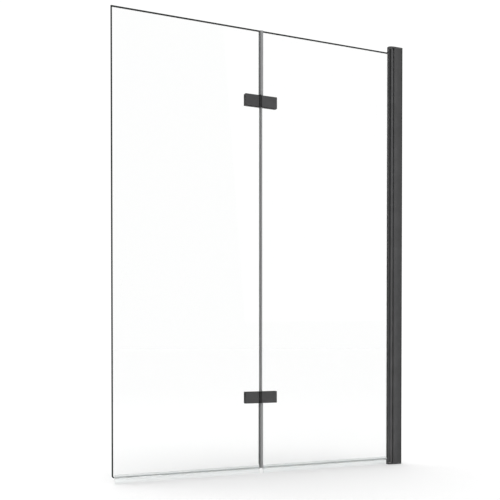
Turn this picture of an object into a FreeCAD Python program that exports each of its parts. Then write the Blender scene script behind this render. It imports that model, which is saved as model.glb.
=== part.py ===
import FreeCAD, Part
import math
import os

import Sketcher

# Two-panel folding bath screen.
# Frame: the wall is the plane x = 0 and the screen reaches towards -x. -y is the front,
# +y the back, z = 0 the foot of the profile. The origin is the foot of the wall face, on the
# middle plane of the glass. All lengths are millimetres.

os.makedirs("parts", exist_ok=True)

doc = FreeCAD.newDocument("bath_screen")
sheet = doc.addObject("Spreadsheet::Sheet", "params")

# ---------------------------------------------------------------- driving dimensions
CELLS = [
    # whole screen
    ("overall_width", 1000.0, "wall to free glass edge"),
    ("overall_height", 1400.0, "foot to top of the profile"),
    # glass
    ("glass_half", 3.0, "half the glass thickness"),
    ("outer_width", 475.0, "width of the outer panel"),
    ("inner_width", 482.75, "width of the inner panel, with the part in the barrel"),
    ("glass_end", 19.1, "glass stops short of the top of the profile by this"),
    ("glass_foot", 17.0, "glass stands above the foot by this"),
    ("seam_gap", 3.25, "gap between the two panels"),
    ("corner_low", 7.0, "radius of the free bottom corner"),
    ("corner_high", 2.0, "radius of the free top corner"),
    ("glass_arris", 1.5, "polished edge of the glass"),
    ("glass_hole", 12.0, "hole for a hinge sleeve"),
    # wall channel
    ("channel_depth", 32.5, "off the wall"),
    ("channel_half", 12.5, "half width"),
    ("channel_web", 1.8, "back wall"),
    ("channel_leg", 1.6, "side walls"),
    ("channel_round", 0.8, "front corners"),
    ("wall_hole", 5.5, "wall screw hole"),
    ("wall_hole_outer", 1240.0, "spacing of the outer pair of holes"),
    ("wall_hole_inner", 400.0, "spacing of the inner pair of holes"),
    # adjusting jamb in the channel
    ("jamb_front", 31.5, "front face from the wall"),
    ("jamb_back", 11.0, "back edge from the wall"),
    ("jamb_half", 10.7, "half width"),
    ("jamb_hollow", 25.5, "front of the hollow from the wall"),
    ("jamb_inside", 9.2, "half width of the hollow"),
    ("seat_radius", 11.0, "hollow seat for the pivot barrel"),
    ("port_out", 28.8, "screw port from the wall"),
    ("port_side", 7.2, "screw port from the middle plane"),
    ("port_hole", 2.9, "screw port"),
    ("wiper_half", 1.5, "half width of the wiper groove"),
    ("wiper_floor", 27.5, "floor of the wiper groove from the wall"),
    ("fix_out", 18.5, "jamb screw from the wall"),
    ("fix_pitch", 580.0, "spacing of the jamb screws"),
    ("fix_first", 120.0, "height of the lowest jamb screw"),
    ("fix_shank", 3.5, "jamb screw shank"),
    # pivot
    ("cap_height", 5.0, "end cap thickness"),
    ("cap_round", 1.0, "end cap outer edge"),
    ("cap_radius", 10.6, "end cap about the pivot"),
    ("pivot_out", 40.5, "pivot axis from the wall"),
    ("barrel_radius", 10.5, "pivot barrel"),
    ("barrel_end", 9.0, "barrel stops short of both ends by this"),
    ("flute_out", 12.3, "flute beside each jaw of the barrel, from the pivot axis"),
    ("flute_radius", 4.0, "flute beside each jaw of the barrel"),
    ("slot_half", 4.2, "half width of the glass slot"),
    ("slot_past", 4.0, "slot floor past the pivot axis"),
    ("pin_radius", 3.0, "pivot pin"),
    ("bush_bore", 3.05, "pivot bush, inner radius"),
    ("bush_body", 4.5, "pivot bush, outer radius"),
    ("bush_flange", 7.0, "pivot bush, flange radius"),
    # hinges
    ("hinge_inset", 239.3, "hinge middle from the end of the profile"),
    ("hinge_half", 18.3, "half the hinge height"),
    ("hinge_side", 3.125, "hinge axis from the middle of the seam, towards the outer panel"),
    ("reach_inner", 58.3, "inner hinge plates, far end from the hinge axis"),
    ("reach_outer", 51.0, "outer hinge plates, far end from the hinge axis"),
    ("hinge_near", 4.9, "front plate, near end from the hinge axis"),
    ("hinge_back", 0.6, "back plate, near end from the hinge axis"),
    ("plate_thick", 4.0, "hinge plate"),
    ("plate_corner", 1.6, "hinge plate corner radius"),
    ("plate_bevel", 1.0, "hinge plate edge"),
    ("pad_thick", 0.8, "hinge gasket"),
    ("axis_out", 8.1, "hinge axis in front of the middle plane"),
    ("knuckle_radius", 3.1, "hinge knuckle"),
    ("knuckle_mid", 8.2, "half length of the middle knuckle"),
    ("knuckle_end", 8.7, "start of the end knuckles"),
    ("hinge_pin", 1.75, "hinge pin radius"),
    ("hinge_bore", 1.8, "knuckle bore radius"),
    ("washer_thick", 0.4, "knuckle washer"),
    ("screw_near", 18.0, "first hinge screw from the hinge axis"),
    ("screw_far", 42.0, "second hinge screw from the hinge axis"),
    ("screw_radius", 2.5, "hinge screw"),
    ("sleeve_radius", 5.8, "sleeve in the glass hole"),
    ("hex_size", 3.0, "socket across flats"),
    # seals
    ("seal_wall", 1.15, "seal wall thickness"),
    ("seal_fit", 0.05, "seal clearance on the glass"),
    ("seal_grip", 9.0, "bottom seal, height of its legs on the glass"),
    ("seal_rise", 1.5, "bottom seal fin above the foot"),
    ("fin_half", 0.7, "half thickness of the fin"),
    ("seam_leg_long", 6.7, "seam seal legs above and below the hinges"),
    ("seam_leg_short", 2.1, "seam seal legs between the hinges"),
    ("seam_touch", 0.3, "bulb clearance to the other panel"),
    ("seam_cut", 0.8, "seam seal clearance at the hinges"),
]


class Size:
    """A number together with the cell formula that it comes from."""

    def __init__(self, value, text):
        self.value, self.text = float(value), text

    def join(self, other, sign, value, swap=False):
        a, b = self.text, formula(other)
        if swap:
            a, b = b, a
        return Size(value, "(%s %s %s)" % (a, sign, b))

    def __add__(self, o):
        return self.join(o, "+", self.value + number(o))

    def __radd__(self, o):
        return self.join(o, "+", number(o) + self.value, True)

    def __sub__(self, o):
        return self.join(o, "-", self.value - number(o))

    def __rsub__(self, o):
        return self.join(o, "-", number(o) - self.value, True)

    def __mul__(self, o):
        return self.join(o, "*", self.value * number(o))

    def __rmul__(self, o):
        return self.join(o, "*", number(o) * self.value, True)

    def __truediv__(self, o):
        return self.join(o, "/", self.value / number(o))

    def __neg__(self):
        return Size(-self.value, "(0 - %s)" % self.text)


def number(v):
    return v.value if isinstance(v, Size) else float(v)


def formula(v):
    return v.text if isinstance(v, Size) else "(%r)" % float(v)


class Sizes:
    pass


P = Sizes()
for row, (alias, value, note) in enumerate(CELLS, start=1):
    sheet.set("A%d" % row, note)
    sheet.set("B%d" % row, "%g" % value)
    sheet.setAlias("B%d" % row, alias)
    setattr(P, alias, Size(value, "params." + alias))
doc.recompute()

# ---------------------------------------------------------------- building blocks
PIECES = []
CUTS = []
VEC = FreeCAD.Vector


def bind(obj, path, v):
    if isinstance(v, Size):
        obj.setExpression(path, v.text)


def piece(label, x=0, y=0, z=0, turn=None):
    """A new piece with its own name and place."""
    body = doc.addObject("PartDesign::Body", label)
    body.Label = label
    body.AllowCompound = True
    rotation = FreeCAD.Rotation(*turn) if turn else FreeCAD.Rotation()
    body.Placement = FreeCAD.Placement(VEC(number(x), number(y), number(z)), rotation)
    for axis, v in (("x", x), ("y", y), ("z", z)):
        bind(body, "Placement.Base." + axis, v)
    PIECES.append(body)
    return body


def origin(body, role):
    return [f for f in body.Origin.OriginFeatures if f.Role == role][0]


def sketch(body, plane, shift=0):
    """A sketch on an origin plane. XY faces +z, XZ faces -y, YZ faces +x; shift is along that."""
    sk = body.newObject("Sketcher::SketchObject", body.Label + "_sketch")
    sk.AttachmentSupport = (origin(body, plane), [""])
    sk.MapMode = "FlatFace"
    sk.AttachmentOffset = FreeCAD.Placement(VEC(0, 0, number(shift)), FreeCAD.Rotation())
    bind(sk, "AttachmentOffset.Base.z", shift)
    return sk


def poly(sk, points):
    """A closed outline, each corner held by its two distances from the sketch's origin."""
    first, n = sk.GeometryCount, len(points)
    xy = [VEC(number(a), number(b), 0) for a, b in points]
    sk.addGeometry([Part.LineSegment(xy[i], xy[(i + 1) % n]) for i in range(n)], False)
    sk.addConstraint(
        [
            Sketcher.Constraint("Coincident", first + i, 2, first + (i + 1) % n, 1)
            for i in range(n)
        ]
    )
    for i, (a, b) in enumerate(points):
        for kind, letter, v in (("DistanceX", "x", a), ("DistanceY", "y", b)):
            c = sk.addConstraint(Sketcher.Constraint(kind, -1, 1, first + i, 1, number(v)))
            name = "corner_%s_%d" % (letter, first + i)
            sk.renameConstraint(c, name)
            bind(sk, "Constraints." + name, v)
    return sk


def rect(sk, x0, x1, y0, y1):
    return poly(sk, [(x0, y0), (x1, y0), (x1, y1), (x0, y1)])


def circle(sk, x, y, r):
    g = sk.addGeometry(Part.Circle(VEC(number(x), number(y), 0), VEC(0, 0, 1), number(r)), False)
    for kind, letter, args, v in (
        ("Radius", "r", (g,), r),
        ("DistanceX", "x", (-1, 1, g, 3), x),
        ("DistanceY", "y", (-1, 1, g, 3), y),
    ):
        c = sk.addConstraint(Sketcher.Constraint(kind, *args, number(v)))
        name = "round_%s_%d" % (letter, g)
        sk.renameConstraint(c, name)
        bind(sk, "Constraints." + name, v)
    return sk


def pad(body, sk, length, both=False):
    f = body.newObject("PartDesign::Pad", body.Label + "_pad")
    f.Profile = sk
    if both:
        f.SideType = "Symmetric"
    f.Length = number(length)
    bind(f, "Length", length)
    doc.recompute()
    return f


def cut(body, sk, depth=None, ahead=False):
    """A cut right through both ways, or to a depth: behind the sketch, or ahead of it."""
    before = body.Shape.Volume
    f = body.newObject("PartDesign::Pocket", body.Label + "_cut")
    f.Profile = sk
    if depth is None:
        f.Type = "ThroughAll"
        f.SideType = "Symmetric"
    else:
        f.Length = number(depth)
        bind(f, "Length", depth)
        f.Reversed = ahead
    doc.recompute()
    CUTS.append((f.Label, before - body.Shape.Volume))
    return f


def turned(body, points):
    """A turned shape about the piece's own z axis, from (radius, height) corners."""
    sk = poly(sketch(body, "XZ_Plane"), points)
    f = body.newObject("PartDesign::Revolution", body.Label + "_turn")
    f.Profile = sk
    f.ReferenceAxis = (sk, ["V_Axis"])
    f.Angle = 360
    doc.recompute()
    return f


def row(body, features, axis, length, count):
    f = body.newObject("PartDesign::LinearPattern", body.Label + "_row")
    f.Originals = features
    f.Direction = (origin(body, axis), [""])
    f.Length = number(length)
    bind(f, "Length", length)
    f.Occurrences = count
    body.Tip = f
    doc.recompute()
    return f


def edges(feature, test):
    return ["Edge%d" % i for i, e in enumerate(feature.Shape.Edges, start=1) if test(e)]


def dress(body, kind, feature, size, test):
    names = edges(feature, test)
    if not names:
        raise RuntimeError("no edge found on " + body.Label)
    f = body.newObject("PartDesign::" + kind, body.Label + "_" + kind.lower())
    f.Base = (feature, names)
    prop = "Radius" if kind == "Fillet" else "Size"
    setattr(f, prop, number(size))
    bind(f, prop, size)
    doc.recompute()
    return f


def near(a, b):
    return abs(a - number(b)) < 1e-4


def all_at(e, axis, v):
    """The whole edge lies at one value of x, y or z."""
    box = e.BoundBox
    lo = getattr(box, axis.upper() + "Min")
    hi = getattr(box, axis.upper() + "Max")
    return near(lo, v) and near(hi, v)


def round_edge(e, r):
    return isinstance(e.Curve, Part.Circle) and near(e.Curve.Radius, r)


# ---------------------------------------------------------------- shared positions
seam = -(P.overall_width - P.outer_width - P.seam_gap / 2)
inner_near = -(P.overall_width - P.outer_width - P.inner_width - P.seam_gap)
hinge_line = seam - P.hinge_side
inner_far = seam + P.seam_gap / 2
outer_near = seam - P.seam_gap / 2
outer_far = -P.overall_width
glass_low = P.glass_foot
glass_top = P.overall_height - P.glass_end
run_low = P.cap_height
run_length = P.overall_height - 2 * P.cap_height
pivot = -P.pivot_out
hinge_low = P.hinge_inset
hinge_high = P.overall_height - P.hinge_inset
middle = P.overall_height / 2
pad_face = P.glass_half + P.pad_thick
plate_face = pad_face + P.plate_thick

# ---------------------------------------------------------------- wall channel
b = piece("wall_profile")
ch, leg = P.channel_half, P.channel_half - P.channel_leg
f = pad(
    b,
    poly(
        sketch(b, "XY_Plane", run_low),
        [
            (0, -ch),
            (0, ch),
            (-P.channel_depth, ch),
            (-P.channel_depth, leg),
            (-P.channel_web, leg),
            (-P.channel_web, -leg),
            (-P.channel_depth, -leg),
            (-P.channel_depth, -ch),
        ],
    ),
    run_length,
)
f = dress(
    b,
    "Fillet",
    f,
    P.channel_round,
    lambda e: all_at(e, "x", -P.channel_depth) and (all_at(e, "y", ch) or all_at(e, "y", -ch)),
)
# four screw holes on the middle line of the web
sk = sketch(b, "YZ_Plane")
for spacing in (P.wall_hole_outer, P.wall_hole_inner):
    circle(sk, 0, middle - spacing / 2, P.wall_hole / 2)
    circle(sk, 0, middle + spacing / 2, P.wall_hole / 2)
cut(b, sk)
# adjusting slots for the jamb screws in the back leg
sk = sketch(b, "XZ_Plane", -ch)
for i in range(3):
    zc = P.fix_first + i * P.fix_pitch
    rect(sk, -P.fix_out - 4, -P.fix_out + 4, zc - 2.1, zc + 2.1)
cut(b, sk, P.channel_leg + 0.5, ahead=True)

# ---------------------------------------------------------------- jamb with the pivot seat
b = piece("jamb_profile")
pad(
    b,
    rect(sketch(b, "XY_Plane", run_low), -P.jamb_front, -P.jamb_back, -P.jamb_half, P.jamb_half),
    run_length,
)
cut(b, circle(sketch(b, "XY_Plane"), pivot, 0, P.seat_radius))
sk = sketch(b, "XY_Plane")
rect(sk, -P.jamb_hollow, -P.jamb_back + 1, -P.jamb_inside, P.jamb_inside)
circle(sk, -P.port_out, P.port_side, P.port_hole / 2)
circle(sk, -P.port_out, -P.port_side, P.port_hole / 2)
cut(b, sk)
cut(b, rect(sketch(b, "XY_Plane"), -P.wiper_floor - 4, -P.wiper_floor, -P.wiper_half, P.wiper_half))
sk = sketch(b, "XZ_Plane", -P.jamb_half)
for i in range(3):
    circle(sk, -P.fix_out, P.fix_first + i * P.fix_pitch, P.fix_shank / 2 + 0.05)
cut(b, sk, P.jamb_half - P.jamb_inside + 0.5, ahead=True)

# soft strip that closes the seat behind the barrel
b = piece("jamb_wiper_seal")
wiper = P.wiper_half - P.seal_fit
f = pad(
    b,
    rect(
        sketch(b, "XY_Plane", run_low + 0.2),
        pivot + P.barrel_radius + 0.35,
        -P.wiper_floor - P.seal_fit,
        -wiper,
        wiper,
    ),
    run_length - 0.4,
)
dress(
    b,
    "Fillet",
    f,
    0.5,
    lambda e: all_at(e, "x", pivot + P.barrel_radius + 0.35)
    and (all_at(e, "y", wiper) or all_at(e, "y", -wiper)),
)

# three screws through the slots into the jamb, with a snap cover on each
b = piece("jamb_screws", -P.fix_out, ch, P.fix_first, (VEC(1, 0, 0), -90))
head = 0.05
shank = P.fix_shank / 2
f = turned(
    b,
    [(0, -9), (0.6, -9), (shank, -7), (shank, head), (3.5, head), (3.5, head + 1.4), (2.6, head + 2.2), (0, head + 2.2)],
)
g = sketch(b, "XY_Plane", head + 2.2)
w, d = 0.4, 1.5
poly(
    g,
    [(w, w), (d, w), (d, -w), (w, -w), (w, -d), (-w, -d), (-w, -w), (-d, -w), (-d, w), (-w, w), (-w, d), (w, d)],
)
c = cut(b, g, 1.2)
row(b, [f, c], "Y_Axis", 2 * P.fix_pitch, 3).Reversed = True
doc.recompute()

b = piece("jamb_screw_caps", -P.fix_out, ch, P.fix_first, (VEC(1, 0, 0), -90))
f = turned(
    b,
    [(3.7, 0.02), (4.8, 0.02), (4.8, 2.2), (4.4, 2.9), (3.4, 3.3), (1.2, 3.45), (0, 3.45), (0, 2.45), (3.7, 2.45)],
)
row(b, [f], "Y_Axis", 2 * P.fix_pitch, 3).Reversed = True
doc.recompute()


# ---------------------------------------------------------------- end caps, bushes, cap screws
def cap_outline(sk):
    """As wide as the channel at the wall, and rounded about the pivot, with straight flanks between."""
    ax, ay, r = number(P.channel_depth), number(ch), number(P.cap_radius)
    px = number(P.pivot_out)
    turn = math.atan2(ay, px - ax) + math.acos(r / math.hypot(ay, px - ax))
    tx, ty = -px + r * math.cos(turn), r * math.sin(turn)
    at = [(0, -ay), (0, ay), (-ax, ay), (tx, ty), (tx, -ty), (-ax, -ay)]
    v = [VEC(a, b, 0) for a, b in at]
    sk.addGeometry([Part.LineSegment(v[i], v[j]) for i, j in ((0, 1), (1, 2), (2, 3), (4, 5), (5, 0))], False)
    arc = sk.addGeometry(
        Part.ArcOfCircle(Part.Circle(VEC(-px, 0, 0), VEC(0, 0, 1), r), turn, 2 * math.pi - turn), False
    )
    for a, b in ((0, 1), (1, 2), (3, 4), (4, 0)):
        sk.addConstraint(Sketcher.Constraint("Coincident", a, 2, b, 1))
    sk.addConstraint(Sketcher.Constraint("Tangent", 2, 2, arc, 1))
    sk.addConstraint(Sketcher.Constraint("Tangent", arc, 2, 3, 1))
    held = [
        ("DistanceX", (-1, 1, arc, 3), pivot),
        ("DistanceY", (-1, 1, arc, 3), 0),
        ("Radius", (arc,), P.cap_radius),
    ]
    for line, x, y in ((0, 0, -ch), (1, 0, ch), (2, -P.channel_depth, ch), (4, -P.channel_depth, -ch)):
        held += [("DistanceX", (-1, 1, line, 1), x), ("DistanceY", (-1, 1, line, 1), y)]
    for n, (kind, args, size) in enumerate(held):
        c = sk.addConstraint(Sketcher.Constraint(kind, *args, number(size)))
        sk.renameConstraint(c, "held_%d" % n)
        bind(sk, "Constraints.held_%d" % n, size)
    return sk


def end_cap(label, top):
    b = piece(label)
    low = P.overall_height - P.cap_height if top else 0
    outside = P.overall_height if top else 0
    inside = P.overall_height - P.cap_height if top else P.cap_height
    f = pad(b, cap_outline(sketch(b, "XY_Plane", low)), P.cap_height)
    f = dress(
        b,
        "Fillet",
        f,
        P.cap_round,
        lambda e: all_at(e, "z", outside) and not all_at(e, "x", 0),
    )
    cut(
        b,
        circle(sketch(b, "XY_Plane", inside), pivot, 0, P.bush_body + 0.05),
        P.cap_height - 1,
        ahead=top,
    )
    sk = sketch(b, "XY_Plane")
    circle(sk, -P.port_out, P.port_side, 1.6)
    circle(sk, -P.port_out, -P.port_side, 1.6)
    f = cut(b, sk)
    dress(b, "Chamfer", f, 1.4, lambda e: all_at(e, "z", outside) and round_edge(e, 1.6))
    return b


end_cap("top_end_cap", True)
end_cap("bottom_end_cap", False)

OVER = (VEC(1, 0, 0), 180)
for label, z, turn in (
    ("top_pivot_bush", P.overall_height - 1.2, OVER),
    ("bottom_pivot_bush", 1.2, None),
):
    b = piece(label, pivot, 0, z, turn)
    turned(
        b,
        [
            (P.bush_bore, 0),
            (P.bush_body, 0),
            (P.bush_body, P.cap_height - 1.2),
            (P.bush_flange, P.cap_height - 1.2),
            (P.bush_flange, P.cap_height - 0.2),
            (P.bush_bore, P.cap_height - 0.2),
        ],
    )

for label, z, turn in (
    ("top_cap_screws", P.overall_height, None),
    ("bottom_cap_screws", 0, OVER),
):
    # head flush with the cap, shank in the jamb's screw port
    side = -P.port_side
    b = piece(label, -P.port_out, side if turn is None else -side, z, turn)
    f = turned(b, [(0, -20), (0.5, -20), (1.4, -18), (1.4, -1.55), (2.8, -0.15), (0, -0.15)])
    g = sketch(b, "XY_Plane", -0.15)
    w, d = 0.35, 1.3
    poly(
        g,
        [(w, w), (d, w), (d, -w), (w, -w), (w, -d), (-w, -d), (-w, -w), (-d, -w), (-d, w), (-w, w), (-w, d), (w, d)],
    )
    c = cut(b, g, 0.9)
    row(b, [f, c], "Y_Axis", 2 * P.port_side, 2)

# ---------------------------------------------------------------- pivot barrel and what it holds
b = piece("pivot_barrel")
barrel_length = P.overall_height - 2 * P.barrel_end
pad(b, circle(sketch(b, "XY_Plane", P.barrel_end), pivot, 0, P.barrel_radius), barrel_length)
f = cut(
    b,
    rect(
        sketch(b, "XY_Plane"),
        pivot - P.barrel_radius - 1,
        pivot + P.slot_past,
        -P.slot_half,
        P.slot_half,
    ),
)
dress(
    b,
    "Fillet",
    f,
    0.5,
    lambda e: (all_at(e, "y", P.slot_half) or all_at(e, "y", -P.slot_half))
    and e.BoundBox.XMax < number(pivot)
    and e.BoundBox.ZLength > 100,
)
FLUTE = math.radians(35)
sk = sketch(b, "XY_Plane")
for s in (1, -1):
    circle(
        sk,
        pivot - P.flute_out * math.sin(FLUTE),
        P.flute_out * (s * math.cos(FLUTE)),
        P.flute_radius,
    )
cut(b, sk)

b = piece("glazing_gasket")
lip = pivot - P.barrel_radius - 0.4
out_y, in_y = P.slot_half - 0.03, P.glass_half + 0.02
base0, base1 = inner_near + 0.05, pivot + P.slot_past - 0.05
pad(
    b,
    poly(
        sketch(b, "XY_Plane", glass_low),
        [
            (lip, out_y),
            (base1, out_y),
            (base1, -out_y),
            (lip, -out_y),
            (lip, -in_y),
            (base0, -in_y),
            (base0, in_y),
            (lip, in_y),
        ],
    ),
    glass_top - glass_low,
)

PLUG_GAP, TONGUE = 0.2, 7.4
disc = P.barrel_end - P.cap_height - 1 - PLUG_GAP
for label, low, tongue_low in (
    ("top_barrel_plug", P.overall_height - P.barrel_end, P.overall_height - P.barrel_end - TONGUE),
    ("bottom_barrel_plug", P.barrel_end - disc, P.barrel_end),
):
    b = piece(label)
    pad(b, circle(sketch(b, "XY_Plane", low), pivot, 0, P.barrel_radius - 0.1), disc)
    pad(
        b,
        rect(
            sketch(b, "XY_Plane", tongue_low),
            pivot - P.barrel_radius + 0.8,
            pivot + P.slot_past - 0.05,
            -P.slot_half + 0.05,
            P.slot_half - 0.05,
        ),
        TONGUE,
    )
    cut(b, circle(sketch(b, "XY_Plane"), pivot, 0, P.pin_radius + 0.02))

PIN_LOW, PIN_LENGTH = 1.4, 14.6
for label, z in (
    ("top_pivot_pin", P.overall_height - PIN_LOW - PIN_LENGTH),
    ("bottom_pivot_pin", PIN_LOW),
):
    b = piece(label, pivot, 0, z)
    r = P.pin_radius
    turned(
        b,
        [(0, 0), (r - 0.5, 0), (r, 0.5), (r, PIN_LENGTH - 0.5), (r - 0.5, PIN_LENGTH), (0, PIN_LENGTH)],
    )


# ---------------------------------------------------------------- glass
def glass(label, x0, x1, holes, low_corner, high_corner):
    b = piece(label)
    f = pad(b, rect(sketch(b, "XZ_Plane"), x0, x1, glass_low, glass_top), 2 * P.glass_half, both=True)
    for corner_z, radius in ((glass_low, low_corner), (glass_top, high_corner)):
        if radius is not None:
            f = dress(
                b,
                "Fillet",
                f,
                radius,
                lambda e: all_at(e, "x", x0) and all_at(e, "z", corner_z),
            )
    sk = sketch(b, "XZ_Plane")
    for x in holes:
        for z in (hinge_low, hinge_high):
            circle(sk, x, z, P.glass_hole / 2)
    f = cut(b, sk)
    dress(
        b,
        "Chamfer",
        f,
        P.glass_arris,
        lambda e: (all_at(e, "y", P.glass_half) or all_at(e, "y", -P.glass_half))
        and not round_edge(e, P.glass_hole / 2),
    )
    return b


glass("inner_glass_panel", inner_far, inner_near, (hinge_line + P.screw_near, hinge_line + P.screw_far), None, None)
glass(
    "outer_glass_panel",
    outer_far,
    outer_near,
    (hinge_line - P.screw_near, hinge_line - P.screw_far),
    P.corner_low,
    P.corner_high,
)


# ---------------------------------------------------------------- seals
def bottom_seal(label, x0, x1):
    """A clip over the glass's lower edge with a fin below it and a drip lip to the back."""
    b = piece(label)
    slot = P.glass_half + P.seal_fit
    out = slot + P.seal_wall
    top = glass_low + P.seal_grip
    floor = glass_low - P.seal_fit
    under = floor - P.seal_wall - 0.9
    n = P.fin_half
    pad(
        b,
        poly(
            sketch(b, "YZ_Plane", x0),
            [
                (-out, top),
                (-out, under),
                (-n, under),
                (-n, P.seal_rise),
                (n, P.seal_rise),
                (n, under),
                (out - 0.8, under),
                (out + 3.9, under - 5.2),
                (out + 4.7, under - 4.6),
                (out, under + 1.1),
                (out, top),
                (slot, top),
                (slot, floor),
                (-slot, floor),
                (-slot, top),
            ],
        ),
        x1 - x0,
    )
    return b


bottom_seal("inner_bottom_seal", inner_far + P.seam_leg_long + 2, pivot - 14)
bottom_seal("outer_bottom_seal", outer_far + P.corner_low + 3, outer_near - 1)


def seam_seal(label, z0, z1, grip):
    """A clip on the inner panel's edge with a hollow bulb towards the outer panel."""
    b = piece(label)
    slot = P.glass_half + 0.02
    out = slot + 0.9
    g = inner_far
    tip = outer_near + P.seam_touch
    pad(
        b,
        poly(
            sketch(b, "XY_Plane", z0),
            [
                (g + grip, slot),
                (g + grip, out),
                (g - 0.6, out),
                (g - 1.5, out - 0.5),
                (tip + 0.8, 2.2),
                (tip, 0.9),
                (tip, -0.9),
                (tip + 0.8, -2.2),
                (g - 1.5, -out + 0.5),
                (g - 0.6, -out),
                (g + grip, -out),
                (g + grip, -slot),
                (g - 0.05, -slot),
                (g - 0.05, slot),
            ],
        ),
        z1 - z0,
    )
    cut(b, circle(sketch(b, "XY_Plane"), g - 1.45, 0, 0.75))
    return b


clear = P.hinge_half + P.seam_cut
seam_seal("seam_seal_top", hinge_high + clear, glass_top, P.seam_leg_long)
seam_seal("seam_seal_middle", hinge_low + clear, hinge_high - clear, P.seam_leg_short)
seam_seal("seam_seal_bottom", glass_low, hinge_low - clear, P.seam_leg_long)


# ---------------------------------------------------------------- hinges
def leaf(name, half, z, s):
    """One half of a hinge in the frame of the hinge: x from its axis, z from its middle."""
    hh, far = P.hinge_half, s * (P.reach_inner if s > 0 else P.reach_outer)
    screws = (s * P.screw_near, s * P.screw_far)

    # front plate with its share of the knuckles
    b = piece("%s_%s_front_plate" % (name, half), hinge_line, 0, z)
    f = pad(
        b, rect(sketch(b, "XZ_Plane", pad_face), s * P.hinge_near, far, -hh, hh), P.plate_thick
    )
    f = dress(
        b,
        "Fillet",
        f,
        P.plate_corner,
        lambda e: all_at(e, "x", far) and e.BoundBox.YLength > 1,
    )
    f = dress(
        b,
        "Chamfer",
        f,
        P.plate_bevel,
        lambda e: all_at(e, "y", -plate_face) and not all_at(e, "x", s * P.hinge_near),
    )
    spans = [(-P.knuckle_mid, P.knuckle_mid)]
    if half == "outer":
        spans = [(-hh, -P.knuckle_end), (P.knuckle_end, hh)]
    for z0, z1 in spans:
        pad(
            b,
            rect(
                sketch(b, "XY_Plane", z0),
                0,
                s * (P.hinge_near + 1.5),
                -plate_face + P.plate_bevel,
                -P.axis_out + P.knuckle_radius - 0.4,
            ),
            z1 - z0,
        )
        pad(b, circle(sketch(b, "XY_Plane", z0), 0, -P.axis_out, P.knuckle_radius), z1 - z0)
    cut(b, circle(sketch(b, "XY_Plane"), 0, -P.axis_out, P.hinge_bore))
    sk = sketch(b, "XZ_Plane", pad_face)
    for x in screws:
        circle(sk, x, 0, P.screw_radius + 0.05)
    cut(b, sk, P.plate_thick - 1.0, ahead=True)

    # back plate, countersunk for the screws
    b = piece("%s_%s_back_plate" % (name, half), hinge_line, 0, z)
    f = pad(
        b, rect(sketch(b, "XZ_Plane", -plate_face), s * P.hinge_back, far, -hh, hh), P.plate_thick
    )
    f = dress(
        b,
        "Fillet",
        f,
        P.plate_corner,
        lambda e: all_at(e, "x", far) and e.BoundBox.YLength > 1,
    )
    f = dress(
        b,
        "Chamfer",
        f,
        P.plate_bevel,
        lambda e: all_at(e, "y", plate_face) and not all_at(e, "x", s * P.hinge_back),
    )
    sk = sketch(b, "XZ_Plane")
    for x in screws:
        circle(sk, x, 0, P.screw_radius + 0.2)
    f = cut(b, sk)
    dress(
        b,
        "Chamfer",
        f,
        2.5,
        lambda e: all_at(e, "y", plate_face) and round_edge(e, P.screw_radius + 0.2),
    )

    # gaskets between the plates and the glass
    for where, shift in (("front", P.glass_half), ("back", -pad_face)):
        b = piece("%s_%s_%s_gasket" % (name, half, where), hinge_line, 0, z)
        sk = sketch(b, "XZ_Plane", shift)
        rect(sk, s * (P.hinge_near + 0.5), far - s * 0.5, -hh + 0.5, hh - 0.5)
        for x in screws:
            circle(sk, x, 0, P.screw_radius + 0.2)
        pad(b, sk, P.pad_thick)

    # two countersunk socket screws from the back
    length, tip = plate_face - 0.1, plate_face - 1.2
    b = piece("%s_%s_screws" % (name, half), hinge_line + screws[0], 0, z, (VEC(1, 0, 0), -90))
    r = P.screw_radius
    f = turned(
        b,
        [
            (0, -tip),
            (r - 0.5, -tip),
            (r, -tip + 0.5),
            (r, length - 2.5),
            (r + 2.5, length),
            (0, length),
        ],
    )
    sk = sketch(b, "XY_Plane", length)
    a, c = P.hex_size / 2, P.hex_size * 0.288675
    poly(sk, [(2 * c, 0), (c, a), (-c, a), (-2 * c, 0), (-c, -a), (c, -a)])
    k = cut(b, sk, 2.2)
    pitch = row(b, [f, k], "X_Axis", P.screw_far - P.screw_near, 2)
    if s < 0:
        pitch.Reversed = True
        doc.recompute()

    # sleeves that keep the screws off the glass
    b = piece("%s_%s_sleeves" % (name, half), hinge_line, 0, z)
    sk = sketch(b, "XZ_Plane")
    for x in screws:
        circle(sk, x, 0, P.sleeve_radius)
        circle(sk, x, 0, P.screw_radius + 0.2)
    pad(b, sk, 2 * P.glass_half - 0.1, both=True)


def hinge(name, z):
    leaf(name, "inner", z, 1)
    leaf(name, "outer", z, -1)
    b = piece("%s_pin" % name, hinge_line, -P.axis_out, z)
    r, half = P.hinge_pin, P.hinge_half - 0.2
    turned(
        b,
        [(0, -half), (r - 0.4, -half), (r, -half + 0.4), (r, half - 0.4), (r - 0.4, half), (0, half)],
    )
    b = piece("%s_washers" % name, hinge_line, -P.axis_out, z)
    room = (P.knuckle_end - P.knuckle_mid - P.washer_thick) / 2
    for z0 in (P.knuckle_mid + room, -P.knuckle_mid - room - P.washer_thick):
        sk = sketch(b, "XY_Plane", z0)
        circle(sk, 0, 0, P.knuckle_radius - 0.2)
        circle(sk, 0, 0, P.hinge_bore)
        pad(b, sk, P.washer_thick)


hinge("upper_hinge", hinge_high)
hinge("lower_hinge", hinge_low)

# ---------------------------------------------------------------- checks and files
doc.recompute()
faults = [o.Label for o in doc.Objects if "Invalid" in o.State or "Error" in o.State]
faults += ["%s removes nothing" % name for name, v in CUTS if v <= 1e-6]
for b in PIECES:
    if b.Shape.isNull() or not b.Shape.isValid() or not b.Shape.Solids:
        faults.append(b.Label + " has no valid shape")
if faults:
    raise RuntimeError("; ".join(faults))

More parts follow.
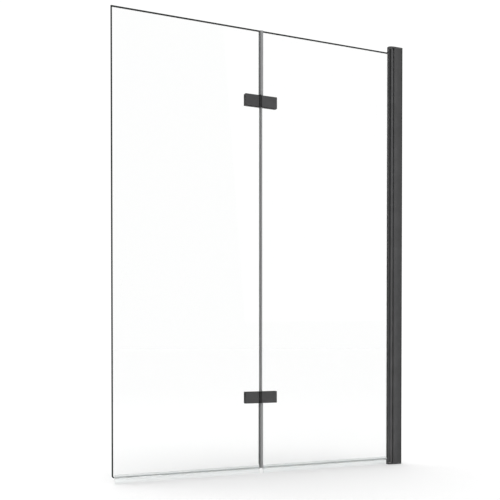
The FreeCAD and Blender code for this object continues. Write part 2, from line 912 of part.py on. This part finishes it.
for b in PIECES:
    box = b.Shape.BoundBox
    print(
        "%-34s %2d solid(s) %12.1f mm3  x %.2f..%.2f  y %.2f..%.2f  z %.2f..%.2f"
        % (
            b.Label,
            len(b.Shape.Solids),
            b.Shape.Volume,
            box.XMin,
            box.XMax,
            box.YMin,
            box.YMax,
            box.ZMin,
            box.ZMax,
        )
    )
    b.Shape.exportStep("parts/%s.step" % b.Label)
print(len(PIECES), "pieces")
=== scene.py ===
import math

import bpy
import bmesh
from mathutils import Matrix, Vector


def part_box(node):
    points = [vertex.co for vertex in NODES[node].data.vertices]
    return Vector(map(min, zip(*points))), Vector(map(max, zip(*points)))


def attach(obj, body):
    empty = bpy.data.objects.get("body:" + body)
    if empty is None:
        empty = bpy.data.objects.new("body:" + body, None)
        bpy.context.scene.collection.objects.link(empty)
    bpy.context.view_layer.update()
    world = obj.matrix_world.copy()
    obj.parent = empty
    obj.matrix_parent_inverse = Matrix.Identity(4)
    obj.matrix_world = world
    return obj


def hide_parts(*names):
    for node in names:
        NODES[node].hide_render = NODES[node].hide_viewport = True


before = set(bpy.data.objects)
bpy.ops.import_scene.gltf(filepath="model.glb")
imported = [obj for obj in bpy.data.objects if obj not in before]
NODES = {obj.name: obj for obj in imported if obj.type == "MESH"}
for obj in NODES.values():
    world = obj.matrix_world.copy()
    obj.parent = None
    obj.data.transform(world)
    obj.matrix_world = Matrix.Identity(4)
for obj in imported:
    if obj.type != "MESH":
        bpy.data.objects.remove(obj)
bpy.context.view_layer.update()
scene = bpy.context.scene

HINGE_X = -0.5265        # axis of the two hinges
HINGE_Z = (0.2393, 1.1607)
HOLES = (0.018, 0.042)   # hinge screws, from the axis
BORDER = (0.0009, 0.0018, 0.0002, 0.0001)  # polished border of the glass faces beside the upright, upper, lower and flatter edges


# ------------------------------------------------------------------ shader helpers
def new_material(name):
    mat = bpy.data.materials.new(name)
    mat.use_nodes = True
    tree = mat.node_tree
    tree.nodes.clear()
    out = tree.nodes.new("ShaderNodeOutputMaterial")
    bsdf = tree.nodes.new("ShaderNodeBsdfPrincipled")
    tree.links.new(bsdf.outputs["BSDF"], out.inputs["Surface"])
    return mat, tree, bsdf, out


def object_coords(tree, scale=(1, 1, 1)):
    tc = tree.nodes.new("ShaderNodeTexCoord")
    mp = tree.nodes.new("ShaderNodeMapping")
    mp.inputs["Scale"].default_value = scale
    tree.links.new(tc.outputs["Object"], mp.inputs["Vector"])
    return mp.outputs["Vector"]


def noise(tree, vector, scale, detail=3.0, rough=0.55):
    n = tree.nodes.new("ShaderNodeTexNoise")
    n.inputs["Scale"].default_value = scale
    n.inputs["Detail"].default_value = detail
    n.inputs["Roughness"].default_value = rough
    tree.links.new(vector, n.inputs["Vector"])
    return n.outputs["Fac"]


def ramp(tree, fac, stops):
    r = tree.nodes.new("ShaderNodeValToRGB")
    r.color_ramp.interpolation = "EASE"
    while len(r.color_ramp.elements) < len(stops):
        r.color_ramp.elements.new(0.5)
    for e, (p, c) in zip(r.color_ramp.elements, stops):
        e.position = p
        e.color = (*c, 1.0) if isinstance(c, tuple) else (c, c, c, 1.0)
    tree.links.new(fac, r.inputs["Fac"])
    return r.outputs["Color"]


def remap(tree, fac, lo, hi, a=0.0, b=1.0):
    m = tree.nodes.new("ShaderNodeMapRange")
    m.inputs["From Min"].default_value = a
    m.inputs["From Max"].default_value = b
    m.inputs["To Min"].default_value = lo
    m.inputs["To Max"].default_value = hi
    tree.links.new(fac, m.inputs["Value"])
    return m.outputs["Result"]


def maths(tree, op, a, b=None):
    m = tree.nodes.new("ShaderNodeMath")
    m.operation = op
    for i, v in enumerate((a, b)):
        if v is None:
            continue
        if isinstance(v, (int, float)):
            m.inputs[i].default_value = v
        else:
            tree.links.new(v, m.inputs[i])
    return m.outputs[0]


def bump(tree, bsdf, height, distance, strength=1.0, under=None):
    b = tree.nodes.new("ShaderNodeBump")
    b.inputs["Distance"].default_value = distance
    b.inputs["Strength"].default_value = strength
    tree.links.new(height, b.inputs["Height"])
    if under is not None:
        tree.links.new(under, b.inputs["Normal"])
    tree.links.new(b.outputs["Normal"], bsdf.inputs["Normal"])
    return b.outputs["Normal"]


def shade(tree, bsdf, fac):
    """Multiply the base colour by a grey factor."""
    m = tree.nodes.new("ShaderNodeMix")
    m.data_type = "RGBA"
    m.blend_type = "MULTIPLY"
    m.inputs["Factor"].default_value = 1.0
    a, b = [s for s in m.inputs if s.type == "RGBA"]
    tree.links.new(bsdf.inputs["Base Color"].links[0].from_socket, a)
    tree.links.new(fac, b)
    tree.links.new(next(s for s in m.outputs if s.type == "RGBA"), bsdf.inputs["Base Color"])


def place(tree):
    """The point in the shared frame, as x, y and z."""
    tc = tree.nodes.new("ShaderNodeTexCoord")
    sep = tree.nodes.new("ShaderNodeSeparateXYZ")
    tree.links.new(tc.outputs["Object"], sep.inputs["Vector"])
    return sep.outputs["X"], sep.outputs["Y"], sep.outputs["Z"]


def step(tree, value, a, b, lo, hi):
    """Smooth step from lo at a to hi at b."""
    m = tree.nodes.new("ShaderNodeMapRange")
    m.interpolation_type = "SMOOTHSTEP"
    for key, val in (("From Min", a), ("From Max", b), ("To Min", lo), ("To Max", hi)):
        m.inputs[key].default_value = val
    tree.links.new(value, m.inputs["Value"])
    return m.outputs["Result"]


# ------------------------------------------------------------------ materials
def powder_coat(name, tone, rough=(0.42, 0.56)):
    """Fine-textured matt coat: sand-like grain, a slow orange-peel wave, slightly uneven tone."""
    mat, t, bsdf, _ = new_material(name)
    v = object_coords(t)
    cloud = noise(t, v, 22.0, 4.0, 0.6)
    grain = noise(t, v, 2600.0, 2.0, 0.5)
    peel = noise(t, v, 420.0, 2.0, 0.5)
    lo, hi = tuple(c * 0.88 for c in tone), tuple(c * 1.12 for c in tone)
    t.links.new(ramp(t, cloud, [(0.3, lo), (0.7, hi)]), bsdf.inputs["Base Color"])
    shade(t, bsdf, ramp(t, grain, [(0.35, 0.9), (0.72, 1.12)]))
    t.links.new(remap(t, grain, *rough, 0.3, 0.7), bsdf.inputs["Roughness"])
    bsdf.inputs["Specular IOR Level"].default_value = 0.3
    n = bump(t, bsdf, peel, 0.00006, 0.5)
    bump(t, bsdf, grain, 0.00003, 0.6, n)
    return mat, t, bsdf


COAT = (0.052, 0.052, 0.053)
JAMB_COAT, _, _ = powder_coat("jamb_coat", (0.105, 0.105, 0.107))


def wall_coat_painted_shade():
    """Profile coat of the channel, with painted shade: a little deeper towards the wall, and much deeper in a narrow
    strip beside it, as a painted shadow.
    """
    mat, t, bsdf = powder_coat("channel_coat_painted_shade", COAT)
    x, _, _ = place(t)
    # painted shade: the face's tone falls from a little lighter at the front edge to darker towards the wall
    shade(t, bsdf, step(t, x, -0.031, -0.005, 1.08, 0.76))
    # painted shadow: the strip beside the wall is much darker, as in a shadow gap
    shade(t, bsdf, step(t, x, -0.0050, -0.0025, 1.0, 0.40))
    return mat


WALL_COAT_PAINTED_SHADE = wall_coat_painted_shade()


def barrel_coat_painted_shade_and_light():
    """Profile coat of the barrel, with painted shade and light: painted shade in the flutes, strongest high up and
    fading out towards the foot, and painted light on the side towards the jamb and on the land beside the glass slot.
    """
    mat, t, bsdf = powder_coat("barrel_coat_painted_shade_and_light", (0.062, 0.062, 0.063))
    x, y, z = place(t)
    dx = maths(t, "SUBTRACT", x, -0.0405)
    r = maths(t, "SQRT", maths(t, "ADD", maths(t, "MULTIPLY", dx, dx), maths(t, "MULTIPLY", y, y)))
    # painted shade: surfaces inside the flutes (nearer the axis than the barrel's round) are darkened, more the higher
    # up
    deep = step(t, r, 0.0099, 0.0104, 1.0, 0.0)
    high = maths(t, "MULTIPLY", step(t, z, 0.02, 0.35, 0.0, 1.0), step(t, z, 0.2, 1.4, 0.62, 0.94))
    shade(t, bsdf, maths(t, "SUBTRACT", 1.0, maths(t, "MULTIPLY", deep, high)))
    # painted light: the barrel's side towards the jamb is made half again as light, against the shade of the gap
    shade(t, bsdf, step(t, x, -0.0405, -0.0370, 1.0, 1.5))
    # painted light: the land beside the glass slot, facing away from the front, is made lighter
    shade(t, bsdf, step(t, x, -0.0490, -0.0482, 1.4, 1.0))
    return mat


BARREL_COAT_PAINTED_SHADE_AND_LIGHT = barrel_coat_painted_shade_and_light()


def hinge_coat_painted_shade(name, knuckle):
    """Hinge coat: painted shade along the bevelled border, and a painted shadow on the knuckle and the strap beside it,
    where the leaves meet.
    The knuckle's tone is the same on both sides of the hinge axis, so that folded leaves match."""
    mat, t, bsdf = powder_coat(name, COAT, (0.38, 0.5))
    x, _, z = place(t)
    up = maths(t, "ABSOLUTE", maths(t, "SUBTRACT", maths(t, "ABSOLUTE", maths(t, "SUBTRACT", z, 0.7)), 0.4607))
    across = maths(t, "ABSOLUTE", maths(t, "SUBTRACT", x, HINGE_X + 0.00365))
    # painted shade: the bevelled border of the plates is darker
    rim = maths(t, "MAXIMUM", step(t, up, 0.0156, 0.0176, 0.0, 1.0), step(t, across, 0.0519, 0.0540, 0.0, 1.0))
    shade(t, bsdf, remap(t, rim, 1.0, 0.55))
    if knuckle:
        # painted shadow: the knuckle and the strap beside it are darkened, for the shaded gap where the leaves meet
        off = maths(t, "ABSOLUTE", maths(t, "SUBTRACT", x, HINGE_X))
        strap = maths(t, "ABSOLUTE", maths(t, "SUBTRACT", x, HINGE_X + 0.0010))
        shade(t, bsdf, maths(t, "MAXIMUM", step(t, off, 0.0010, 0.0031, 0.10, 0.34), step(t, strap, 0.0041, 0.0048, 0.0, 1.0)))
    return mat


HINGE = hinge_coat_painted_shade("hinge_coat_painted_shade", False)
HINGE_FRONT = hinge_coat_painted_shade("hinge_front_coat_painted_shade", True)


def moulded(name, tone):
    """Moulded plastic with a spark-eroded texture."""
    mat, t, bsdf, _ = new_material(name)
    v = object_coords(t)
    spark = noise(t, v, 1500.0, 4.0, 0.65)
    cloud = noise(t, v, 60.0, 2.0, 0.5)
    t.links.new(ramp(t, cloud, [(0.3, tuple(c * 0.85 for c in tone)), (0.7, tuple(c * 1.15 for c in tone))]), bsdf.inputs["Base Color"])
    t.links.new(remap(t, spark, 0.45, 0.62, 0.3, 0.7), bsdf.inputs["Roughness"])
    bump(t, bsdf, spark, 0.00004, 0.6)
    return mat


CAP = moulded("cap_plastic", (0.050, 0.050, 0.051))


def rubber(name, lo, hi):
    mat, t, bsdf, _ = new_material(name)
    v = object_coords(t)
    dust = noise(t, v, 300.0, 5.0, 0.7)
    skin = noise(t, v, 4000.0, 2.0, 0.5)
    t.links.new(ramp(t, dust, [(0.35, lo), (0.75, hi)]), bsdf.inputs["Base Color"])
    t.links.new(remap(t, dust, 0.62, 0.8, 0.3, 0.7), bsdf.inputs["Roughness"])
    bump(t, bsdf, skin, 0.00002, 0.5)
    return mat


RUBBER = rubber("rubber_black", 0.010, 0.022)
GLAZING_RUBBER = rubber("rubber_glazing", 0.040, 0.062)


def acetal(name, lo, hi):
    mat, t, bsdf, _ = new_material(name)
    v = object_coords(t)
    flow = noise(t, v, 180.0, 3.0, 0.5)
    t.links.new(ramp(t, flow, [(0.3, lo), (0.7, hi)]), bsdf.inputs["Base Color"])
    t.links.new(remap(t, flow, 0.32, 0.46, 0.3, 0.7), bsdf.inputs["Roughness"])
    bsdf.inputs["Subsurface Weight"].default_value = 0.15
    bsdf.inputs["Subsurface Radius"].default_value = (0.002, 0.002, 0.0015)
    bump(t, bsdf, noise(t, v, 2200.0, 2.0, 0.5), 0.00001, 0.4)
    return mat


ACETAL = acetal("acetal_natural", (0.66, 0.65, 0.60), (0.76, 0.75, 0.71))
ACETAL_BLACK = acetal("acetal_black", (0.010, 0.010, 0.010), (0.018, 0.018, 0.019))


def steel():
    """Turned stainless steel: fine rings round the fastener's axis read as short streaks."""
    mat, t, bsdf, _ = new_material("steel_turned")
    v = object_coords(t, (1.0, 6.0, 1.0))
    ring = noise(t, v, 1800.0, 3.0, 0.6)
    bsdf.inputs["Metallic"].default_value = 1.0
    t.links.new(ramp(t, ring, [(0.3, (0.46, 0.46, 0.47)), (0.7, (0.60, 0.60, 0.61))]), bsdf.inputs["Base Color"])
    t.links.new(remap(t, ring, 0.2, 0.36, 0.3, 0.7), bsdf.inputs["Roughness"])
    bump(t, bsdf, ring, 0.00001, 0.5)
    return mat


STEEL = steel()


def seam_pvc():
    mat, t, bsdf, _ = new_material("seam_pvc")
    v = object_coords(t, (1.0, 1.0, 0.012))
    draw = noise(t, v, 1400.0, 3.0, 0.55)
    cloud = noise(t, object_coords(t, (1.0, 1.0, 0.2)), 60.0, 2.0, 0.5)
    mixed = maths(t, "MULTIPLY_ADD", draw, 0.5)
    mixed.node.inputs[2].default_value = 0.25
    t.links.new(ramp(t, mixed, [(0.25, (0.29, 0.293, 0.295)), (0.8, (0.38, 0.383, 0.385))]), bsdf.inputs["Base Color"])
    t.links.new(remap(t, cloud, 0.26, 0.42, 0.3, 0.7), bsdf.inputs["Roughness"])
    bsdf.inputs["Transmission Weight"].default_value = 0.3
    bsdf.inputs["IOR"].default_value = 1.5
    bump(t, bsdf, draw, 0.00002, 0.5)
    return mat


SEAM_PVC = seam_pvc()


def clear_pvc():
    mat, t, bsdf, _ = new_material("clear_pvc")
    v = object_coords(t, (0.01, 1.0, 1.0))
    draw = noise(t, v, 1400.0, 3.0, 0.55)
    cloud = noise(t, object_coords(t, (0.2, 1.0, 1.0)), 80.0, 2.0, 0.5)
    t.links.new(ramp(t, cloud, [(0.3, (0.93, 0.95, 0.95)), (0.7, (0.97, 0.98, 0.98))]), bsdf.inputs["Base Color"])
    t.links.new(remap(t, draw, 0.06, 0.16, 0.3, 0.7), bsdf.inputs["Roughness"])
    bsdf.inputs["Transmission Weight"].default_value = 0.95
    bsdf.inputs["IOR"].default_value = 1.45
    bump(t, bsdf, draw, 0.00002, 0.4)
    return mat


CLEAR_PVC = clear_pvc()


def glass_face():
    """Clear toughened float glass with the faint roller wave that toughening leaves."""
    mat, t, bsdf, out = new_material("glass_face")
    wave = noise(t, object_coords(t, (0.25, 1.0, 1.0)), 7.0, 1.0, 0.4)
    film = noise(t, object_coords(t), 14.0, 3.0, 0.6)
    bsdf.inputs["Base Color"].default_value = (0.942, 0.944, 0.942, 1.0)
    bsdf.inputs["Transmission Weight"].default_value = 1.0
    bsdf.inputs["IOR"].default_value = 1.5
    t.links.new(remap(t, film, 0.0, 0.012, 0.45, 0.75), bsdf.inputs["Roughness"])
    bump(t, bsdf, wave, 0.00006, 0.25)
    vol = t.nodes.new("ShaderNodeVolumeAbsorption")
    vol.inputs["Color"].default_value = (0.70, 0.88, 0.82, 1.0)
    vol.inputs["Density"].default_value = 2.0
    t.links.new(vol.outputs["Volume"], out.inputs["Volume"])
    return mat


def glass_edge(name, lo, hi, gloss, arris):
    """Ground and polished edge: looks down the width of the pane, so it reads as a deep green-grey
    line. arris: how much of the tone is left where the round runs into the faces."""
    mat, t, bsdf, out = new_material(name)
    v = object_coords(t)
    grind = noise(t, v, 900.0, 3.0, 0.6)
    slow = noise(t, v, 9.0, 2.0, 0.5)
    t.links.new(ramp(t, slow, [(0.3, lo), (0.7, hi)]), bsdf.inputs["Base Color"])
    _, y, _ = place(t)
    shade(t, bsdf, step(t, maths(t, "ABSOLUTE", y), 0.0006, 0.0027, 1.0, arris))
    t.links.new(remap(t, grind, 0.12, 0.26, 0.3, 0.7), bsdf.inputs["Roughness"])
    bsdf.inputs["Specular IOR Level"].default_value = gloss
    bump(t, bsdf, grind, 0.00001, 0.4)
    return mat


GLASS_FACE = glass_face()
GLASS_EDGE = glass_edge("glass_edge", (0.010, 0.0155, 0.0140), (0.018, 0.026, 0.024), 0.3, 0.45)
# painted light: the edges at the seam are a paler copy of the glass edge, for the light that comes through the gap
# between the panes
GLASS_SEAM_PAINTED_LIGHT = glass_edge("glass_seam_edge_painted_light", (0.190, 0.197, 0.194), (0.235, 0.243, 0.240), 0.12, 1.0)
GLASS_GROUND = glass_edge("glass_ground_edge", (0.66, 0.69, 0.68), (0.74, 0.77, 0.76), 0.3, 1.0)  # lower edge, in the seal


def set_material(node, mat):
    obj = NODES[node]
    if not obj.material_slots:
        obj.data.materials.append(mat)
    for s in obj.material_slots:
        s.material = mat


for name in NODES:
    if name == "wall_profile":
        set_material(name, WALL_COAT_PAINTED_SHADE)
    elif name == "jamb_profile":
        set_material(name, JAMB_COAT)
    elif name == "pivot_barrel":
        set_material(name, BARREL_COAT_PAINTED_SHADE_AND_LIGHT)
    elif name.endswith("front_plate"):
        set_material(name, HINGE_FRONT)
    elif name.endswith("back_plate"):
        set_material(name, HINGE)
    elif name.endswith(("end_cap", "screw_caps", "barrel_plug")):
        set_material(name, CAP)
    elif name == "glazing_gasket":
        set_material(name, GLAZING_RUBBER)
    elif name.endswith(("gasket", "wiper_seal")):
        set_material(name, RUBBER)
    elif name.endswith("washers"):
        set_material(name, ACETAL_BLACK)
    elif name.endswith(("bush", "sleeves")):
        set_material(name, ACETAL)
    elif name.endswith(("screws", "_pin")):
        set_material(name, STEEL)
    elif name.startswith("seam_seal"):
        set_material(name, SEAM_PVC)
    elif name.endswith("bottom_seal"):
        set_material(name, CLEAR_PVC)


# ------------------------------------------------------------------ glass panels
def pane(name, node, body, corners, side):
    """A pane with clear faces and polished edges: pencil-round, and flatter on the side towards the
    wall, with an arris half as wide. corners: the radii in plan, from the lower left one, clockwise.
    side: -1 or 1, where the hinge holes are from the axis."""
    lo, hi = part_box(node)
    half = (hi[1] - lo[1]) / 2
    mid = (hi[1] + lo[1]) / 2
    bm = bmesh.new()
    steps, turn = 14, 8

    def outline(inset, extra):
        pts = []
        for (cx, cz, sx, sz, a0), r in zip((
                (lo[0], lo[2], 1, 1, 270), (lo[0], hi[2], 1, -1, 180),
                (hi[0], hi[2], -1, -1, 90), (hi[0], lo[2], -1, 1, 0)), corners):
            hold, arc = max(r, inset), max(r - inset, 0.0)
            flat = hold if sx > 0 else max(r, inset / 2)
            turned = []
            for k in range(turn + 1):
                a = math.radians(a0 - 90.0 * k / turn)
                turned.append((cx + sx * (flat + extra[0 if sx > 0 else 3]) + arc * math.cos(a),
                               cz + sz * (hold + extra[2 if sz > 0 else 1]) + arc * math.sin(a)))
            # a point close beside each corner keeps the long edges' shading straight
            level, upright = (sx * 0.0003, 0.0), (0.0, sz * 0.0003)
            before, after = (level, upright) if a0 in (270, 90) else (upright, level)
            pts.append((turned[0][0] + before[0], turned[0][1] + before[1]))
            pts.extend(turned)
            pts.append((turned[-1][0] + after[0], turned[-1][1] + after[1]))
        return pts

    def edge_slot(face):
        c = face.calc_center_median()
        if c.z < lo[2] + 0.006 and lo[0] + 0.0075 < c.x < hi[0] - 0.0075:
            return 3
        # slot 2: the edges at the seam, which get the paler glass edge with painted light
        return 2 if (c.x - HINGE_X) * side < 0.011 else 1

    # the polished border of the faces, the pencil round, and the border again
    section = [(mid - half, half, BORDER)]
    for k in range(steps + 1):
        a = math.pi * k / steps
        section.append((mid - half * math.cos(a), half * (1.0 - math.sin(a)), (0.0, 0.0, 0.0, 0.0)))
    section.append((mid + half, half, BORDER))
    rings = [[bm.verts.new((x, y, z)) for x, z in outline(d, e)] for y, d, e in section]
    count = len(rings[0])
    for low, high in zip(rings, rings[1:]):
        for i in range(count):
            j = (i + 1) % count
            f = bm.faces.new((low[i], low[j], high[j], high[i]))
            f.material_index = edge_slot(f)
    rims = [[], []]
    for z in HINGE_Z:
        for d in HOLES:
            loops = []
            for y in (mid - half, mid + half):
                loops.append([bm.verts.new((
                    HINGE_X + side * d + 0.006 * math.cos(2 * math.pi * k / 40), y,
                    z + 0.006 * math.sin(2 * math.pi * k / 40))) for k in range(40)])
            for k in range(40):
                m = (k + 1) % 40
                bm.faces.new((loops[0][k], loops[0][m], loops[1][m], loops[1][k])).material_index = 1
            rims[0].append(loops[0])
            rims[1].append(loops[1])
    for f in bm.faces:
        f.smooth = True
    bmesh.ops.remove_doubles(bm, verts=[v for ring in rings for v in ring], dist=1e-6)
    bm.verts.index_update()
    for y, around in ((mid - half, rims[0]), (mid + half, rims[1])):
        edges = [e for e in bm.edges if e.is_boundary and all(abs(v.co.y - y) < 1e-7 for v in e.verts)]
        for f in bmesh.ops.triangle_fill(bm, use_beauty=True, use_dissolve=False, edges=edges)["geom"]:
            if isinstance(f, bmesh.types.BMFace):
                f.material_index = 0
                f.smooth = False
    bmesh.ops.recalc_face_normals(bm, faces=bm.faces[:])
    mesh = bpy.data.meshes.new(name)
    bm.to_mesh(mesh)
    bm.free()
    mesh.materials.append(GLASS_FACE)
    mesh.materials.append(GLASS_EDGE)
    mesh.materials.append(GLASS_SEAM_PAINTED_LIGHT)
    mesh.materials.append(GLASS_GROUND)
    obj = bpy.data.objects.new(name, mesh)
    scene.collection.objects.link(obj)
    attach(obj, body)
    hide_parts(node)
    return obj


pane("inner_glass", "inner_glass_panel", "inner_panel", (0.001, 0.001, 0.001, 0.001), 1)
pane("outer_glass", "outer_glass_panel", "outer_panel", (0.007, 0.002, 0.001, 0.001), -1)


# ------------------------------------------------------------------ soft fins
# Section of the fin, in mm from the inner pane's edge and from the middle plane: its root is in
# the seal's back leg, and its round tip is clear of the back of the outer pane.
FIN = ((0.9, 3.55), (0.9, 3.80), (-0.4, 4.10), (-1.8, 4.25), (-3.4, 4.30), (-5.0, 4.24), (-5.8, 4.14), (-6.3, 4.04),
       (-6.56, 3.92), (-6.65, 3.78), (-6.58, 3.64), (-6.38, 3.54), (-5.9, 3.48), (-5.0, 3.45), (-3.4, 3.45), (-1.2, 3.45),
       (-0.2, 3.50))


def seam_fin(name, z0, z1):
    """The soft fin of a seam seal, which closes the gap behind the outer pane."""
    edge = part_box("inner_glass_panel")[0][0]
    bm = bmesh.new()
    rings = [[bm.verts.new((edge + x / 1000.0, y / 1000.0, z)) for x, y in FIN] for z in (z0, z1)]
    for i in range(len(FIN)):
        j = (i + 1) % len(FIN)
        bm.faces.new((rings[0][i], rings[0][j], rings[1][j], rings[1][i])).smooth = True
    for ring in rings:
        bm.faces.new(ring).smooth = False
    bmesh.ops.recalc_face_normals(bm, faces=bm.faces[:])
    mesh = bpy.data.meshes.new(name)
    bm.to_mesh(mesh)
    bm.free()
    mesh.materials.append(SEAM_PVC)
    obj = bpy.data.objects.new(name, mesh)
    scene.collection.objects.link(obj)
    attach(obj, "inner_panel")


seam_fin("seam_fin_top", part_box("seam_seal_top")[0][2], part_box("seam_seal_top")[1][2])
seam_fin("seam_fin_bottom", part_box("outer_bottom_seal")[1][2] + 0.0025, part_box("seam_seal_bottom")[1][2])


# ------------------------------------------------------------------ stage
def floor():
    mesh = bpy.data.meshes.new("floor")
    r = 40.0
    mesh.from_pydata([(-r, -r, 0), (r, -r, 0), (r, r, 0), (-r, r, 0)], [], [(0, 1, 2, 3)])
    obj = bpy.data.objects.new("floor", mesh)
    obj.location = (-0.5, 0, -0.0005)
    scene.collection.objects.link(obj)
    mat, t, bsdf, _ = new_material("floor_pale")
    cloud = noise(t, object_coords(t), 1.5, 3.0, 0.5)
    t.links.new(ramp(t, cloud, [(0.3, (0.968, 0.968, 0.968)), (0.7, (0.978, 0.978, 0.978))]), bsdf.inputs["Base Color"])
    bsdf.inputs["Roughness"].default_value = 0.8
    bsdf.inputs["Emission Color"].default_value = (1.0, 1.0, 1.0, 1.0)
    bsdf.inputs["Emission Strength"].default_value = 0.025
    mesh.materials.append(mat)


floor()

world = bpy.data.worlds.new("studio")
scene.world = world
world.use_nodes = True
bg = world.node_tree.nodes["Background"]
bg.inputs["Color"].default_value = (1.0, 1.0, 1.0, 1.0)
bg.inputs["Strength"].default_value = 1.05


def softbox(name, place, aim, size, power):
    light = bpy.data.lights.new(name, "AREA")
    light.shape = "RECTANGLE"
    light.size, light.size_y = size
    light.energy = power
    obj = bpy.data.objects.new(name, light)
    obj.location = place
    obj.rotation_euler = (Vector(aim) - Vector(place)).to_track_quat("-Z", "Y").to_euler()
    obj.visible_camera = False
    obj.visible_glossy = False
    scene.collection.objects.link(obj)
    return obj


softbox("key", (1.3, -2.2, 1.6), (-0.4, 0.0, 0.7), (1.8, 2.2), 6.0)
softbox("rim", (-2.3, 1.5, 1.5), (-0.3, 0.0, 0.8), (0.9, 2.2), 8.0)

# ------------------------------------------------------------------ camera
cam_data = bpy.data.cameras.new("camera")
cam_data.sensor_width = 36.0
cam_data.lens = 59.986
cam_data.shift_y = 0.2085
cam_data.clip_end = 200.0
cam = bpy.data.objects.new("camera", cam_data)
cam.location = (-1.6432, -2.3556, 0.4152)
cam.rotation_euler = (math.radians(90.0 - 0.912), 0.0, math.radians(-24.726))
scene.collection.objects.link(cam)
scene.camera = cam
scene.view_settings.view_transform = "Standard"
